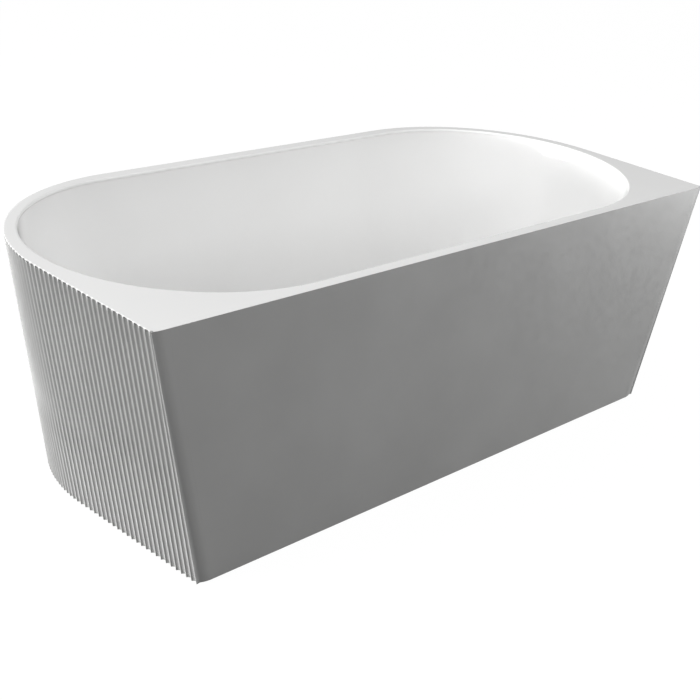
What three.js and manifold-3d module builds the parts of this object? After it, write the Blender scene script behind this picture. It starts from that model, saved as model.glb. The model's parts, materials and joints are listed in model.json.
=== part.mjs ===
// Back-to-wall freestanding bathtub, in millimetres, with Z up.
// X runs along the bath, the flat back faces -Y and the rounded front faces +Y.
// The origin is on the floor, under the middle of the bath.
import * as THREE from 'three';
import { mergeVertices } from 'three/addons/utils/BufferGeometryUtils.js';
import Module from 'manifold-3d';

// Whole bath
const LENGTH = 1700;
const WIDTH = 750;
const HEIGHT = 550;
const FLOOR_GAP = 2;
const FIT_GAP = 0.3;
const OVERRUN = 4;
const BACK_Y = -WIDTH / 2;
const FRONT_Y = WIDTH / 2;

// Plan of the deck, and of the smaller base that the fluted skirt runs down to
const FRONT_CORNER_X = 422;
const FRONT_CORNER_Y = 393;
const BASE_END_INSET = 129;
const BASE_FRONT_INSET = 50;
const BASE_END_FLARE = 15;
const BASE_CORNER_X = 273;
const BASE_CORNER_Y = 320;

// The shallow cut where each end meets the back: flat under the deck, a flute of its own at the floor
const DECK_CUT_RUN = 20;
const DECK_CUT_DROP = 1.5;
const DECK_CUT_HOLLOW = 0.2;
const BASE_CUT_RUN = 14;
const BASE_CUT_DROP = 6;
const BASE_CUT_HOLLOW = 1.5;

// Flutes, panel and deck
const FLUTE_PITCH = 15;
const FLUTE_DEPTH = 6;
const FLUTE_DEPTH_BASE = 5;
const FLUTE_START_WIDTH = 5;
const SKIRT_WALL = 5;
const SKIRT_RETURN = 34;
const DECK_THICKNESS = 5;
const DECK_LIP = 0.8;

// Basin
const RIM_END = 33;
const RIM_BACK = 27;
const RIM_FRONT = 28;
const RIM_ROLL = 5;
const SHELL_WALL = 7;
const BASIN_FLOOR_HEIGHT = 130;
const BASIN_END_INSET = 300;
const BASIN_SIDE_INSET = 130;
const BASIN_LEAN_SHARE = 0.5;
const BASIN_SQUARENESS = 4;
const END_REACH_SHARE = 1.065;

// Stiffeners hidden between the two skins
const GUSSET_LEG = 185;
const GUSSET_THICKNESS = 15;
const STRAP_WIDTH = 40;
const STRAP_THICKNESS = 4;
const RIB_WIDTH = 40;
const RIB_THICKNESS = 11;
const RIB_PLACE_SHARE = 0.42;

// Base board and the steel bars under it
const BOARD_THICKNESS = 15;
const BOARD_LENGTH_SHARE = 0.9;
const BOARD_WIDTH_SHARE = 0.86;
const BOARD_CORNER = 60;
const BOARD_WASTE_HOLE = 52;
const BAR_LENGTH_SHARE = 0.66;
const CENTRE_BAR_SHARE = 0.24;
const BAR_PLACE_SHARE = 0.72;
const BAR_WEB = 44;
const BAR_HEIGHT = 30;
const BAR_FLANGE = 20;
const BAR_SHEET = 2.5;

// Levelling feet
const STUD_RADIUS = 6;
const STUD_HEAD_RADIUS = 10.6;
const STUD_HEAD_HEIGHT = 5;
const NUT_FLATS = 19;
const NUT_SIDES = 6;
const NUT_HEIGHT = 8;
const PAD_RADIUS = 26;
const PAD_SOLE = 6;
const PAD_EDGE = 9;
const PAD_HEIGHT = 22;
const PAD_NECK_RADIUS = 13;
const FOOT_EDGE_DISTANCE = 40;

// Waste fitting in the basin floor
const WASTE_OFFSET_SHARE = 0.24;
const WASTE_RECESS = 4;
const WASTE_FLANGE_RADIUS = 35;
const WASTE_HOLE_RADIUS = 26;
const WASTE_TUBE_RADIUS = 23;
const WASTE_TUBE_BORE = 21;
const WASTE_TUBE_LENGTH = 27;
const WASTE_FLANGE_THICKNESS = 2.5;
const SEAL_THICKNESS = 1.5;
const HUB_RADIUS = 9;
const HUB_HEIGHT = 8;
const SPOKE_WIDTH = 2.5;
const SPOKE_COUNT = 3;
const CARTRIDGE_RADIUS = 6;
const STEM_RADIUS = 3;
const PLUG_RADIUS = 31.5;
const PLUG_CROWN = 4.5;
const WASTE_BODY_RADIUS = 28;
const WASTE_BODY_WALL = 3;
const WASTE_BODY_HEIGHT = 46;
const WASTE_NECK_LENGTH = 22;
const OUTLET_RADIUS = 20;
const OUTLET_WALL = 3;
const OUTLET_CLEARANCE = 8;
const UNION_NUT_RADIUS = 26;
const UNION_NUT_HEIGHT = 20;

// Overflow in the back wall of the basin, and its pipe to the waste
const OVERFLOW_DROP = 110;
const OVERFLOW_HOLE_RADIUS = 24;
const COVER_RADIUS = 35;
const COVER_DEPTH = 12;
const COVER_SKIN = 2.5;
const COVER_SLOT_COUNT = 5;
const OVERFLOW_BODY_RADIUS = 27;
const OVERFLOW_BODY_DEPTH = 25;
const OVERFLOW_BODY_WALL = 3;
const PIPE_RADIUS = 10;
const PIPE_WALL = 2;
const PIPE_BEND = 50;
const PIPE_NUT_RADIUS = 12.5;
const PIPE_NUT_LENGTH = 18;
const BRANCH_RADIUS = 11.5;
const BRANCH_LENGTH = 52;
const SCREW_RADIUS = 2.7;
const SCREW_HEAD_RADIUS = 6;
const SCREW_HEAD_HEIGHT = 3;

// How finely round shapes are faceted
const FLUTE_FACETS = 4;
const CORNER_FACETS = 4;
const BASIN_END_FACETS = 24;
const BASIN_RINGS = 9;
const ROUND_FACETS = 20;
const SMALL_FACETS = 12;
const PIPE_STEPS = 16;

const ACRYLIC = new THREE.MeshStandardMaterial({ color: 0xf1f1ef, roughness: 0.12, metalness: 0 });
const SKIRT_GREY = new THREE.MeshStandardMaterial({ color: 0x9d9d9a, roughness: 0.45, metalness: 0 });
const PLYWOOD = new THREE.MeshStandardMaterial({ color: 0xb8945f, roughness: 0.8, metalness: 0 });
const ZINC_STEEL = new THREE.MeshStandardMaterial({ color: 0xa9adb0, roughness: 0.4, metalness: 1 });
const CHROME = new THREE.MeshStandardMaterial({ color: 0xd8dadc, roughness: 0.08, metalness: 1 });
const BLACK_PLASTIC = new THREE.MeshStandardMaterial({ color: 0x1d1d1e, roughness: 0.55, metalness: 0 });
const WHITE_PLASTIC = new THREE.MeshStandardMaterial({ color: 0xe6e6e2, roughness: 0.5, metalness: 0 });
const RUBBER = new THREE.MeshStandardMaterial({ color: 0x2a2a2a, roughness: 0.9, metalness: 0 });

const wasm = await Module();
wasm.setup();

// Merges shared vertices, drops collapsed triangles and turns the faces outwards.
function closedBody(source) {
  const bare = new THREE.BufferGeometry();
  bare.setAttribute('position', source.getAttribute('position'));
  bare.setIndex(source.getIndex());
  const merged = mergeVertices(bare, 1e-4);
  const places = merged.getAttribute('position');
  const index = merged.getIndex().array;
  const kept = [];
  const corner = [new THREE.Vector3(), new THREE.Vector3(), new THREE.Vector3()];
  let volume = 0;
  for (let i = 0; i < index.length; i += 3) {
    const [a, b, c] = [index[i], index[i + 1], index[i + 2]];
    if (a !== b && b !== c && a !== c) {
      kept.push(a, b, c);
      [a, b, c].forEach((vertex, n) => corner[n].fromBufferAttribute(places, vertex));
      volume += corner[0].dot(corner[1].cross(corner[2]));
    }
  }
  if (volume < 0) {
    kept.reverse();
  }
  merged.setIndex(kept);
  return merged;
}

function toSolid(geometry, matrix = new THREE.Matrix4()) {
  const body = closedBody(geometry.clone().applyMatrix4(matrix));
  const mesh = new wasm.Mesh({
    numProp: 3,
    vertProperties: new Float32Array(body.getAttribute('position').array),
    triVerts: new Uint32Array(body.getIndex().array),
  });
  return new wasm.Manifold(mesh);
}

function fromSolid(solid) {
  const mesh = solid.getMesh();
  const geometry = new THREE.BufferGeometry();
  geometry.setAttribute('position', new THREE.Float32BufferAttribute(mesh.vertProperties, mesh.numProp));
  geometry.setIndex(Array.from(mesh.triVerts));
  return geometry;
}

function shift(x, y, z) {
  return new THREE.Matrix4().makeTranslation(x, y, z);
}

function named(name, geometry, material) {
  const mesh = new THREE.Mesh(closedBody(geometry), material);
  mesh.name = name;
  return mesh;
}

// Turns a profile of (radius, height) pairs about Z.
function turned(profile, facets = ROUND_FACETS) {
  const points = profile.map(([radius, height]) => new THREE.Vector2(radius, height));
  return new THREE.LatheGeometry(points, facets).rotateX(Math.PI / 2);
}

function rod(radius, low, high, facets = SMALL_FACETS) {
  return turned([[0, low], [radius, low], [radius, high], [0, high]], facets);
}

function ring(outer, inner, low, high, facets = ROUND_FACETS) {
  return turned([[inner, low], [outer, low], [outer, high], [inner, high], [inner, low]], facets);
}

// A closed skin made of bands between rings and of level faces.
class Skin {
  constructor() {
    this.corners = [];
  }

  triangle(a, b, c) {
    this.corners.push(a, b, c);
  }

  // Rings run anticlockwise seen from above: going up the band faces outwards, going down inwards.
  band(from, to) {
    from.forEach((start, i) => {
      const next = (i + 1) % from.length;
      this.triangle(start, from[next], to[next]);
      this.triangle(start, to[next], to[i]);
    });
  }

  bands(rings) {
    for (let i = 1; i < rings.length; i += 1) {
      this.band(rings[i - 1], rings[i]);
    }
  }

  level(outline, holes, facesUp) {
    const points = [outline, ...holes].flat();
    const flat = (loop) => loop.map((point) => new THREE.Vector2(point.x, point.y));
    for (const [a, b, c] of THREE.ShapeUtils.triangulateShape(flat(outline), holes.map(flat))) {
      const anticlockwise = !THREE.ShapeUtils.isClockWise(flat([points[a], points[b], points[c]]));
      if (anticlockwise === facesUp) {
        this.triangle(points[a], points[b], points[c]);
      } else {
        this.triangle(points[a], points[c], points[b]);
      }
    }
  }

  // Fills the level space between two rings, always taking the shorter next diagonal.
  ringLevel(outer, inner, facesUp) {
    const distances = inner.map((point) => point.distanceTo(outer[0]));
    const start = distances.indexOf(Math.min(...distances));
    const rim = (step) => outer[step % outer.length];
    const hole = (step) => inner[(start + step) % inner.length];
    let [i, j] = [0, 0];
    while (i < outer.length || j < inner.length) {
      const alongRim = j === inner.length
        || (i < outer.length && rim(i + 1).distanceTo(hole(j)) < rim(i).distanceTo(hole(j + 1)));
      const third = alongRim ? rim(i + 1) : hole(j + 1);
      if (facesUp) {
        this.triangle(rim(i), third, hole(j));
      } else {
        this.triangle(rim(i), hole(j), third);
      }
      [i, j] = alongRim ? [i + 1, j] : [i, j + 1];
    }
  }

  geometry() {
    return new THREE.BufferGeometry().setFromPoints(this.corners);
  }
}

// A solid between two rings at different heights, the lower one first.
function lofted(lower, upper) {
  const skin = new Skin();
  skin.level(lower, [], false);
  skin.band(lower, upper);
  skin.level(upper, [], true);
  return skin.geometry();
}

function atHeight(points, z) {
  return points.map((point) => new THREE.Vector3(point.x, point.y, z));
}

const DECK_PLAN = {
  halfLength: LENGTH / 2,
  flare: 0,
  front: FRONT_Y,
  cornerX: FRONT_CORNER_X,
  cornerY: FRONT_CORNER_Y,
  fluteDepth: FLUTE_DEPTH,
  firstFlute: FLUTE_START_WIDTH,
  cutRun: DECK_CUT_RUN,
  cutDrop: DECK_CUT_DROP,
  cutHollow: DECK_CUT_HOLLOW,
};
const BASE_PLAN = {
  halfLength: LENGTH / 2 - BASE_END_INSET,
  flare: BASE_END_FLARE,
  front: FRONT_Y - BASE_FRONT_INSET,
  cornerX: BASE_CORNER_X,
  cornerY: BASE_CORNER_Y,
  fluteDepth: FLUTE_DEPTH_BASE,
  firstFlute: FLUTE_PITCH,
  cutRun: BASE_CUT_RUN,
  cutDrop: BASE_CUT_DROP,
  cutHollow: BASE_CUT_HOLLOW,
};

// The smooth outline through the flute crests, from the right back corner round to the left one.
function crestPath(plan) {
  const shoulder = plan.halfLength + plan.flare;
  const turnX = shoulder - plan.cornerX;
  const turnY = plan.front - plan.cornerY;
  const path = new THREE.Path();
  path.moveTo(plan.halfLength, BACK_Y + plan.cutDrop);
  path.lineTo(shoulder, turnY);
  path.absellipse(turnX, turnY, plan.cornerX, plan.cornerY, 0, Math.PI / 2);
  path.lineTo(-turnX, plan.front);
  path.absellipse(-turnX, turnY, plan.cornerX, plan.cornerY, Math.PI / 2, Math.PI);
  path.lineTo(-plan.halfLength, BACK_Y + plan.cutDrop);
  return path;
}

const FLUTE_COUNT = Math.round(crestPath(DECK_PLAN).getLength() / FLUTE_PITCH);
const END_STRAIGHT = WIDTH - FRONT_CORNER_Y - DECK_CUT_DROP - FLUTE_START_WIDTH;
const END_FLUTE_COUNT = Math.floor(END_STRAIGHT / FLUTE_PITCH);

// Distances of the crests along the outline: a first flute that tapers out towards the deck,
// flutes at full pitch along the end, then flutes that draw together round the front.
function crestStations(plan) {
  const total = crestPath(plan).getLength();
  const endRun = plan.firstFlute + END_FLUTE_COUNT * FLUTE_PITCH;
  const middleCount = FLUTE_COUNT - 2 * END_FLUTE_COUNT;
  const middlePitch = (total - 2 * endRun) / middleCount;
  const half = [0];
  for (let i = 0; i < END_FLUTE_COUNT; i += 1) {
    half.push(plan.firstFlute + i * FLUTE_PITCH);
  }
  const middle = [];
  for (let i = 0; i <= middleCount; i += 1) {
    middle.push(endRun + i * middlePitch);
  }
  return [...half, ...middle, ...half.map((station) => total - station).reverse()];
}

// Depth of a round hollow of the given width and depth, at a share of the way across.
function hollowDepth(width, depth, share) {
  const radius = (width * width / 4 + depth * depth) / (2 * depth);
  const across = width * (share - 1 / 2);
  return Math.sqrt(radius * radius - across * across) - (radius - depth);
}

// The cut between the flat back and the first flute, at the right (1) or left (-1) end.
function backCut(plan, side) {
  const back = new THREE.Vector2(side * (plan.halfLength - plan.cutRun), BACK_Y);
  const crest = new THREE.Vector2(side * plan.halfLength, BACK_Y + plan.cutDrop);
  const width = back.distanceTo(crest);
  const inward = new THREE.Vector2(-side * plan.cutDrop, plan.cutRun).normalize();
  const points = [];
  for (let i = 0; i < CORNER_FACETS; i += 1) {
    const share = i / CORNER_FACETS;
    const hollow = hollowDepth(width, plan.cutHollow, share);
    points.push(back.clone().lerp(crest, share).addScaledVector(inward, hollow));
  }
  return points;
}

// Both faces of the skirt in plan, each from the right return round the front to the left one.
function skirtLines(plan) {
  const path = crestPath(plan);
  const total = path.getLength();
  const stations = crestStations(plan);
  const wall = plan.fluteDepth + SKIRT_WALL;
  const end = plan.halfLength - SKIRT_RETURN;
  const inwardFrom = (station, depth) => {
    const inward = path.getTangent(station / total).rotateAround(new THREE.Vector2(), Math.PI / 2);
    return path.getPoint(station / total).addScaledVector(inward, depth);
  };
  const outer = [new THREE.Vector2(end, BACK_Y), ...backCut(plan, 1)];
  stations.slice(1).forEach((next, i) => {
    const width = next - stations[i];
    const depth = plan.fluteDepth * Math.min(width / FLUTE_PITCH, 1);
    for (let facet = 0; facet < FLUTE_FACETS; facet += 1) {
      const share = facet / FLUTE_FACETS;
      outer.push(inwardFrom(stations[i] + width * share, hollowDepth(width, depth, share)));
    }
  });
  outer.push(path.getPoint(1), ...backCut(plan, -1).reverse(), new THREE.Vector2(-end, BACK_Y));
  const inner = [
    new THREE.Vector2(end, BACK_Y + SKIRT_WALL),
    new THREE.Vector2(plan.halfLength - wall, BACK_Y + SKIRT_WALL),
    ...stations.slice(1, -1).map((station) => inwardFrom(station, wall)),
    new THREE.Vector2(wall - plan.halfLength, BACK_Y + SKIRT_WALL),
    new THREE.Vector2(-end, BACK_Y + SKIRT_WALL),
  ];
  return { outer, inner };
}

// The walls are ruled between the base plan on the floor and the deck plan at full height.
const BASE_LINES = skirtLines(BASE_PLAN);
const DECK_LINES = skirtLines(DECK_PLAN);

function linesAt(z) {
  const between = (low, high) => low.map((point, i) => {
    const place = point.clone().lerp(high[i], z / HEIGHT);
    return new THREE.Vector3(place.x, place.y, z);
  });
  return {
    outer: between(BASE_LINES.outer, DECK_LINES.outer),
    inner: between(BASE_LINES.inner, DECK_LINES.inner),
  };
}

// An edge of the skirt, level or mitred: a fan at each flute, and a small piece at each back corner.
function skirtEdge(skin, { outer, inner }, facesUp) {
  const cornerOuter = CORNER_FACETS + 2;
  const cornerInner = 2;
  skin.level([...outer.slice(0, cornerOuter), ...inner.slice(0, cornerInner).reverse()], [], facesUp);
  skin.level([...outer.slice(-cornerOuter), ...inner.slice(-cornerInner).reverse()], [], facesUp);
  const face = (a, b, c) => skin.triangle(a, facesUp ? b : c, facesUp ? c : b);
  for (let i = cornerInner; i <= inner.length - cornerInner; i += 1) {
    const flute = cornerOuter - 1 + (i - cornerInner) * FLUTE_FACETS;
    const middle = flute + FLUTE_FACETS / 2;
    for (let facet = flute; facet < flute + FLUTE_FACETS; facet += 1) {
      face(facet < middle ? inner[i - 1] : inner[i], outer[facet], outer[facet + 1]);
    }
    face(inner[i - 1], outer[middle], inner[i]);
  }
}

function halfLengthAt(z) {
  return THREE.MathUtils.lerp(BASE_PLAN.halfLength, DECK_PLAN.halfLength, z / HEIGHT);
}

const DECK_UNDERSIDE = HEIGHT - DECK_THICKNESS;
const UNDER_DECK = DECK_UNDERSIDE - FIT_GAP;

// The deck's underside slants down from its thin lip to its full thickness over the skirt's wall,
// so the joint is a mitre and the skirt's colour reaches up to the deck's edge.
const MITRE_RISE = DECK_THICKNESS - DECK_LIP;
const MITRE_GAP = FIT_GAP * Math.hypot(SKIRT_WALL, MITRE_RISE) / SKIRT_WALL;

function mitreLines(gap) {
  return {
    outer: linesAt(HEIGHT - DECK_LIP - gap).outer,
    inner: linesAt(DECK_UNDERSIDE - gap).inner,
  };
}

function outerSkirt() {
  const skin = new Skin();
  const [low, high] = [linesAt(FLOOR_GAP), mitreLines(MITRE_GAP)];
  const loop = ({ outer, inner }) => [...outer, ...inner.slice().reverse()];
  skirtEdge(skin, low, false);
  skin.band(loop(low), loop(high));
  skirtEdge(skin, high, true);
  return skin.geometry();
}

// A plate whose slanting ends follow the ends of the bath, from low up to highBack and highFront.
function slantedPlate(rightEdge, leftEdge, backFace, thickness, low, highBack, highFront = highBack) {
  const corners = (back, front) => [
    new THREE.Vector3(leftEdge(back), backFace, back),
    new THREE.Vector3(rightEdge(back), backFace, back),
    new THREE.Vector3(rightEdge(front), backFace + thickness, front),
    new THREE.Vector3(leftEdge(front), backFace + thickness, front),
  ];
  return lofted(corners(low, low), corners(highBack, highFront));
}

function backPanel() {
  const edge = (z) => halfLengthAt(z) - SKIRT_RETURN - FIT_GAP;
  const highBack = HEIGHT - DECK_LIP - MITRE_GAP;
  const highFront = DECK_UNDERSIDE - MITRE_GAP;
  return slantedPlate(edge, (z) => -edge(z), BACK_Y, SKIRT_WALL, FLOOR_GAP, highBack, highFront);
}

const PANEL_INSIDE = BACK_Y + SKIRT_WALL;

// A strip bonded behind the joint between a skirt return and the back panel.
function jointStrap(side) {
  const joint = (z) => halfLengthAt(z) - SKIRT_RETURN;
  const near = (z) => side * (joint(z) - STRAP_WIDTH / 2);
  const far = (z) => side * (joint(z) + STRAP_WIDTH / 2);
  const [right, left] = side > 0 ? [far, near] : [near, far];
  const lift = STRAP_WIDTH / 2;
  return slantedPlate(right, left, PANEL_INSIDE + FIT_GAP, STRAP_THICKNESS, lift, UNDER_DECK - lift);
}

function panelRib() {
  const rib = new THREE.BoxGeometry(RIB_WIDTH, RIB_THICKNESS, UNDER_DECK - 2 * RIB_WIDTH);
  return rib.translate(0, PANEL_INSIDE + FIT_GAP + RIB_THICKNESS / 2, UNDER_DECK / 2);
}

const GUSSET_BASE = UNDER_DECK - GUSSET_THICKNESS;

// A plywood corner under the wide part of the deck.
function deckGusset(side) {
  const right = halfLengthAt(GUSSET_BASE) - FLUTE_DEPTH - SKIRT_WALL - FIT_GAP;
  const back = PANEL_INSIDE + STRAP_THICKNESS + 2 * FIT_GAP;
  const shape = new THREE.Shape();
  shape.moveTo(side * right, back);
  shape.lineTo(side * right, back + GUSSET_LEG);
  shape.lineTo(side * (right - GUSSET_LEG), back);
  shape.closePath();
  const plate = new THREE.ExtrudeGeometry(shape, { depth: GUSSET_THICKNESS, bevelEnabled: false });
  return plate.translate(0, 0, GUSSET_BASE);
}

const OPENING = {
  halfLength: LENGTH / 2 - RIM_END,
  halfWidth: (WIDTH - RIM_BACK - RIM_FRONT) / 2,
  centreY: (RIM_BACK - RIM_FRONT) / 2,
};
const BASIN_UNDERSIDE = BASIN_FLOOR_HEIGHT - SHELL_WALL;
const WASTE_Y = OPENING.centreY - OPENING.halfWidth * WASTE_OFFSET_SHARE;

// A ring of the basin: straight sides with half an ellipse at each end.
function basinRing(halfLength, halfWidth, z) {
  const reach = halfWidth * END_REACH_SHARE;
  const points = [];
  for (const side of [1, -1]) {
    for (let i = 0; i <= BASIN_END_FACETS; i += 1) {
      const angle = (i / BASIN_END_FACETS - side / 2) * Math.PI;
      const x = side * (halfLength - reach) + reach * Math.cos(angle);
      points.push(new THREE.Vector3(x, OPENING.centreY + halfWidth * Math.sin(angle), z));
    }
  }
  return points;
}

// How far the basin wall has leaned in at a share of its depth, as a share of the whole inset.
function basinInset(depthShare) {
  const round = 1 - (1 - depthShare ** BASIN_SQUARENESS) ** (1 / BASIN_SQUARENESS);
  return BASIN_LEAN_SHARE * depthShare + (1 - BASIN_LEAN_SHARE) * round;
}

// Rings down the basin wall, closer together where it turns into the floor.
function basinRings(grow, top, depth) {
  const rings = [];
  for (let i = 0; i <= BASIN_RINGS; i += 1) {
    const depthShare = Math.sin((i / BASIN_RINGS) * Math.PI / 2) ** (2 / BASIN_SQUARENESS);
    const inset = basinInset(Math.min(depthShare, 1));
    const halfLength = OPENING.halfLength + grow - BASIN_END_INSET * inset;
    const halfWidth = OPENING.halfWidth + grow - BASIN_SIDE_INSET * inset;
    rings.push(basinRing(halfLength, halfWidth, top - depth * depthShare));
  }
  return rings;
}

function rollRings() {
  const rings = [];
  for (let i = 0; i < CORNER_FACETS; i += 1) {
    const angle = (i / CORNER_FACETS) * Math.PI / 2;
    const grow = RIM_ROLL * (1 - Math.sin(angle));
    const z = HEIGHT - RIM_ROLL * (1 - Math.cos(angle));
    rings.push(basinRing(OPENING.halfLength + grow, OPENING.halfWidth + grow, z));
  }
  return rings;
}

function wasteRing(radius, z) {
  const points = [];
  for (let i = 0; i < ROUND_FACETS; i += 1) {
    const angle = (i / ROUND_FACETS) * 2 * Math.PI;
    points.push(new THREE.Vector3(radius * Math.cos(angle), WASTE_Y + radius * Math.sin(angle), z));
  }
  return points;
}

// The overflow sits square to the uppermost band of the back wall of the basin.
const WALL_TOP = HEIGHT - RIM_ROLL;
const BASIN_WALL = basinRings(0, WALL_TOP, WALL_TOP - BASIN_FLOOR_HEIGHT);
const WALL_STEP = BASIN_WALL[1][0].clone().sub(BASIN_WALL[0][0]);
const WALL_SLOPE = -WALL_STEP.y / WALL_STEP.z;
const OVERFLOW_LEAN = Math.atan(WALL_SLOPE);
const OVERFLOW_WALL_Y = BASIN_WALL[0][0].y + WALL_SLOPE * (OVERFLOW_DROP - RIM_ROLL);

function placeOverflow(object) {
  object.position.set(0, OVERFLOW_WALL_Y, HEIGHT - OVERFLOW_DROP);
  object.rotation.x = OVERFLOW_LEAN;
  object.updateMatrix();
  return object;
}

function innerShell() {
  const skin = new Skin();
  const [under, over] = [mitreLines(0), linesAt(HEIGHT)];
  const land = [over.outer[0], ...over.inner, over.outer.at(-1)];
  const backMitre = [under.outer[0], under.outer.at(-1), under.inner.at(-1), under.inner[0]];
  const inside = [...rollRings(), ...BASIN_WALL];
  const outside = basinRings(SHELL_WALL, DECK_UNDERSIDE, DECK_UNDERSIDE - BASIN_UNDERSIDE).reverse();
  const seat = BASIN_FLOOR_HEIGHT - WASTE_RECESS;
  const recessRadius = WASTE_FLANGE_RADIUS + FIT_GAP + SEAL_THICKNESS;
  const recess = [wasteRing(recessRadius, BASIN_FLOOR_HEIGHT), wasteRing(recessRadius, seat)];
  const hole = [wasteRing(WASTE_HOLE_RADIUS, seat), wasteRing(WASTE_HOLE_RADIUS, BASIN_UNDERSIDE)];
  skin.band(under.outer, over.outer);
  skirtEdge(skin, over, true);
  skin.ringLevel(land, inside[0], true);
  skin.bands(inside);
  skin.level(inside.at(-1), [recess[0]], true);
  skin.bands(recess);
  skin.level(recess[1], [hole[0]], true);
  skin.bands(hole);
  skin.level(outside[0], [hole[1]], false);
  skin.bands(outside);
  skin.ringLevel(under.inner, outside.at(-1), false);
  skin.level(backMitre, [], false);
  skirtEdge(skin, under, false);
  const reach = COVER_RADIUS;
  const cutter = rod(OVERFLOW_HOLE_RADIUS, -reach, reach, ROUND_FACETS).rotateX(-Math.PI / 2);
  const place = placeOverflow(new THREE.Object3D()).matrix;
  return fromSolid(toSolid(skin.geometry()).subtract(toSolid(cutter, place)));
}

const BOARD_TOP = BASIN_UNDERSIDE - FIT_GAP;
const BOARD_BASE = BOARD_TOP - BOARD_THICKNESS;
const FLOOR_HALF_LENGTH = OPENING.halfLength - BASIN_END_INSET;
const FLOOR_HALF_WIDTH = OPENING.halfWidth - BASIN_SIDE_INSET;

function baseBoard() {
  const halfLength = FLOOR_HALF_LENGTH * BOARD_LENGTH_SHARE;
  const halfWidth = FLOOR_HALF_WIDTH * BOARD_WIDTH_SHARE;
  const corner = Math.min(BOARD_CORNER, halfWidth / 2);
  const shape = new THREE.Shape();
  shape.moveTo(-halfLength + corner, -halfWidth);
  shape.absarc(halfLength - corner, -halfWidth + corner, corner, -Math.PI / 2, 0);
  shape.absarc(halfLength - corner, halfWidth - corner, corner, 0, Math.PI / 2);
  shape.absarc(-halfLength + corner, halfWidth - corner, corner, Math.PI / 2, Math.PI);
  shape.absarc(-halfLength + corner, -halfWidth + corner, corner, Math.PI, 1.5 * Math.PI);
  const hole = new THREE.Path();
  hole.absarc(0, WASTE_Y - OPENING.centreY, BOARD_WASTE_HOLE, 0, 2 * Math.PI);
  shape.holes.push(hole);
  const options = { depth: BOARD_THICKNESS, bevelEnabled: false, curveSegments: CORNER_FACETS };
  return new THREE.ExtrudeGeometry(shape, options).translate(0, OPENING.centreY, BOARD_BASE);
}

const BAR_TOP = BOARD_BASE - FIT_GAP;
const WEB_BASE = BAR_TOP - BAR_HEIGHT;
const WEB_TOP = WEB_BASE + BAR_SHEET;

// A top-hat steel bar across the bath, with a hole in its web for each foot.
function legBar(length, footPlaces) {
  const web = BAR_WEB / 2;
  const flange = web + BAR_FLANGE;
  const inner = web - BAR_SHEET;
  const half = [[flange, 0], [flange, -BAR_SHEET], [web, -BAR_SHEET], [web, -BAR_HEIGHT]];
  const cavity = [[inner, 0], [inner, BAR_SHEET - BAR_HEIGHT]];
  const mirror = (points) => points.map(([x, z]) => [-x, z]).reverse();
  const outline = [...half, ...mirror(half), ...mirror(cavity).reverse(), ...cavity.reverse()];
  const shape = new THREE.Shape(outline.map(([x, z]) => new THREE.Vector2(x, z)));
  const bar = new THREE.ExtrudeGeometry(shape, { depth: length, bevelEnabled: false });
  bar.rotateX(Math.PI / 2).translate(0, length / 2, BAR_TOP);
  let solid = toSolid(bar);
  for (const place of footPlaces) {
    const hole = rod(STUD_RADIUS + FIT_GAP, WEB_BASE - OVERRUN, WEB_TOP + OVERRUN);
    solid = solid.subtract(toSolid(hole, shift(0, place, 0)));
  }
  return fromSolid(solid);
}

const STUD_BASE = PAD_SOLE + FIT_GAP;
const STUD_TOP = BOARD_BASE - FIT_GAP;

function footPad() {
  const mouth = STUD_RADIUS + FIT_GAP;
  const cavity = STUD_HEAD_RADIUS + FIT_GAP;
  const roof = STUD_BASE + STUD_HEAD_HEIGHT + FIT_GAP;
  return turned([
    [0, 0], [PAD_RADIUS - FLOOR_GAP, 0], [PAD_RADIUS, FLOOR_GAP], [PAD_RADIUS, PAD_EDGE],
    [PAD_NECK_RADIUS, roof], [PAD_NECK_RADIUS, PAD_HEIGHT], [mouth, PAD_HEIGHT], [mouth, roof],
    [cavity, roof], [cavity, PAD_SOLE], [0, PAD_SOLE],
  ], ROUND_FACETS);
}

function footStud() {
  const head = STUD_BASE + STUD_HEAD_HEIGHT;
  return turned([
    [0, STUD_BASE], [STUD_HEAD_RADIUS, STUD_BASE], [STUD_HEAD_RADIUS, head], [STUD_RADIUS, head],
    [STUD_RADIUS, STUD_TOP], [0, STUD_TOP],
  ], SMALL_FACETS);
}

function hexNut(base) {
  const shape = new THREE.Shape();
  const cornerRadius = NUT_FLATS / 2 / Math.cos(Math.PI / NUT_SIDES);
  for (let i = 0; i < NUT_SIDES; i += 1) {
    const angle = (i / NUT_SIDES) * 2 * Math.PI;
    const corner = [cornerRadius * Math.cos(angle), cornerRadius * Math.sin(angle)];
    if (i === 0) {
      shape.moveTo(...corner);
    } else {
      shape.lineTo(...corner);
    }
  }
  shape.closePath();
  const bore = new THREE.Path();
  bore.absarc(0, 0, STUD_RADIUS + FIT_GAP, 0, 2 * Math.PI);
  shape.holes.push(bore);
  const options = { depth: NUT_HEIGHT, bevelEnabled: false, curveSegments: SMALL_FACETS / 2 };
  return new THREE.ExtrudeGeometry(shape, options).translate(0, 0, base);
}

function levellingFoot(number, x, y) {
  const foot = new THREE.Group();
  foot.position.set(x, y, 0);
  foot.add(named(`foot_pad_${number}`, footPad(), BLACK_PLASTIC));
  foot.add(named(`foot_stud_${number}`, footStud(), ZINC_STEEL));
  foot.add(named(`foot_nut_upper_${number}`, hexNut(WEB_TOP + FIT_GAP), ZINC_STEEL));
  foot.add(named(`foot_nut_lower_${number}`, hexNut(WEB_BASE - FIT_GAP - NUT_HEIGHT), ZINC_STEEL));
  return foot;
}

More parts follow.
